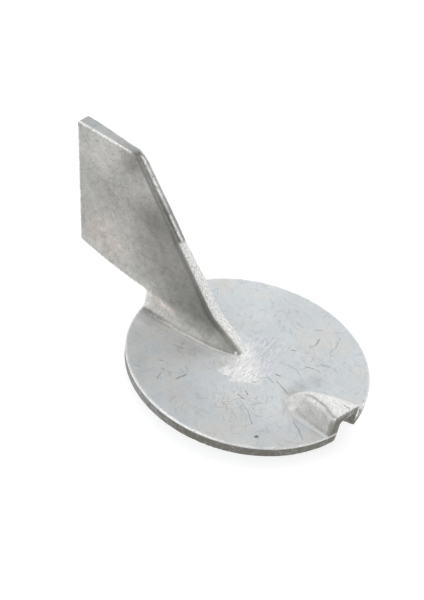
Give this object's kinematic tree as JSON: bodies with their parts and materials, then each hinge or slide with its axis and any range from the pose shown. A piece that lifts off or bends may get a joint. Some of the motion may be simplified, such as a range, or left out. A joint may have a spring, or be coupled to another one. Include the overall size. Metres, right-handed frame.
{
  "type": "outboard trim-tab anode",
  "caption": "Round cast mounting plate with a swept rear fin, a hooded rim channel and a threaded steel insert in its boss.",
  "frame": {"origin": "the point where the bolt's axis crosses the plate's mounting face", "axes": "+X forward in the fin's plane, towards the hooded side; +Y to the left; +Z away from the mounting face, to the fin side"},
  "size_m": [0.1325, 0.095, 0.0796],
  "materials": {
    "cast_alloy": "as cast, with ground patches",
    "insert_steel": "turned"
  },
  "bodies": {
    "root": {"anode_casting": "cast_alloy", "threaded_insert": "insert_steel"}
  },
  "joints": []
}
